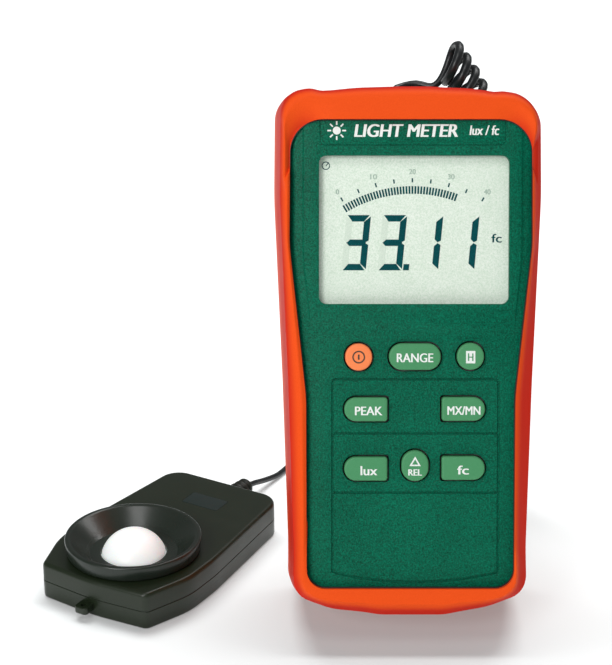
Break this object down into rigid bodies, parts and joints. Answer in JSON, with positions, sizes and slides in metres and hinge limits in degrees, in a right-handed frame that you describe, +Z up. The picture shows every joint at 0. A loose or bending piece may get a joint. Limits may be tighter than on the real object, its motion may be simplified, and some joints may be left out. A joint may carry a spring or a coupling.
{
  "type": "hand-held light meter with a remote sensor head",
  "caption": "Digital light meter in a rubber holster, leaning on its folding tilt stand, with a domed light sensor head on a curly lead.",
  "frame": {"origin": "middle of the footprint of the meter and the sensor head, on the table they stand on", "axes": "+Z up; the meter's face looks towards -Y and upwards; +X is to the right of someone who reads the display"},
  "size_m": [0.1513, 0.1267, 0.1584],
  "materials": {
    "case_green": "fine grained, satin",
    "holster_orange": "smooth, satin",
    "clear": "clear acrylic",
    "display": "grey-green liquid crystal",
    "black": "matt",
    "head_black": "fine grained, satin",
    "grey": "matt",
    "board": "solder mask",
    "steel": "zinc plated",
    "key_orange": "matt, with a black printed symbol",
    "key_green": "matt, with white printed legends",
    "white": "translucent, matt",
    "filter_glass": "polished",
    "lead": "satin jacket",
    "red": "satin"
  },
  "bodies": {
    "meter": {"amplifier_chip": "black", "badge_plate": "case_green", "battery": "black", "battery_lead_black": "black", "battery_lead_red": "red", "battery_snap": "black", "buzzer": "black", "case_screw_1": "steel", "case_screw_2": "steel", "case_screw_3": "steel", "case_screw_4": "steel", "circuit_board": "board", "display_frame": "black", "display_glass": "display", "display_window": "clear", "elastomer_strip_lower": "grey", "elastomer_strip_upper": "grey", "front_case": "case_green", "holster": "holster_orange", "keypad_mat": "grey", "lead_coil": "lead", "lead_gland": "black", "lead_straight": "lead", "lead_tail": "lead", "processor_chip": "black", "quartz_crystal": "steel", "rear_case": "case_green", "stand_hinge_pin": "steel", "storage_capacitor": "black"},
    "stand": {"tilt_stand": "holster_orange"},
    "cover": {"battery_cover": "case_green", "cover_screw": "steel"},
    "sensor_head": {"head_lower_shell": "head_black", "head_upper_shell": "head_black", "light_collar": "head_black", "diffuser_dome": "white", "spectral_filter": "filter_glass", "photodiode": "steel", "head_circuit_board": "board", "head_label": "head_black", "head_screw_1": "steel", "head_screw_2": "steel", "head_screw_3": "steel", "head_screw_4": "steel", "head_strain_relief": "black"},
    "key_footcandle_body": {"key_footcandle": "key_green"},
    "key_hold_body": {"key_hold": "key_green"},
    "key_lux_body": {"key_lux": "key_green"},
    "key_max_min_body": {"key_max_min": "key_green"},
    "key_peak_body": {"key_peak": "key_green"},
    "key_power_body": {"key_power": "key_orange"},
    "key_range_body": {"key_range": "key_green"},
    "key_relative_body": {"key_relative": "key_green"}
  },
  "joints": [
    {"name": "press_footcandle", "type": "slide", "parent": "meter", "child": "key_footcandle_body", "axis": [0, 0.9397, -0.342], "range_m": [0, 0.001], "stiffness_N_per_m": 900, "springref_m": -0.0006},
    {"name": "press_hold", "type": "slide", "parent": "meter", "child": "key_hold_body", "axis": [0, 0.9397, -0.342], "range_m": [0, 0.001], "stiffness_N_per_m": 900, "springref_m": -0.0006},
    {"name": "press_lux", "type": "slide", "parent": "meter", "child": "key_lux_body", "axis": [0, 0.9397, -0.342], "range_m": [0, 0.001], "stiffness_N_per_m": 900, "springref_m": -0.0006},
    {"name": "press_max_min", "type": "slide", "parent": "meter", "child": "key_max_min_body", "axis": [0, 0.9397, -0.342], "range_m": [0, 0.001], "stiffness_N_per_m": 900, "springref_m": -0.0006},
    {"name": "press_peak", "type": "slide", "parent": "meter", "child": "key_peak_body", "axis": [0, 0.9397, -0.342], "range_m": [0, 0.001], "stiffness_N_per_m": 900, "springref_m": -0.0006},
    {"name": "press_power", "type": "slide", "parent": "meter", "child": "key_power_body", "axis": [0, 0.9397, -0.342], "range_m": [0, 0.001], "stiffness_N_per_m": 900, "springref_m": -0.0006},
    {"name": "press_range", "type": "slide", "parent": "meter", "child": "key_range_body", "axis": [0, 0.9397, -0.342], "range_m": [0, 0.001], "stiffness_N_per_m": 900, "springref_m": -0.0006},
    {"name": "press_relative", "type": "slide", "parent": "meter", "child": "key_relative_body", "axis": [0, 0.9397, -0.342], "range_m": [0, 0.001], "stiffness_N_per_m": 900, "springref_m": -0.0006},
    {"name": "stand_hinge", "type": "hinge", "parent": "meter", "child": "stand", "pos_m": [0.036, 0.0235, 0.09206], "axis": [1, 0, 0], "range_deg": [-34.3, 0]},
    {"name": "cover_slide", "type": "slide", "parent": "meter", "child": "cover", "axis": [0, 0.9397, -0.342], "range_m": [0, 0.012]},
    {"name": "head_lift", "type": "slide", "parent": "meter", "child": "sensor_head", "axis": [0, 0, 1], "range_m": [0, 0.06]}
  ]
}
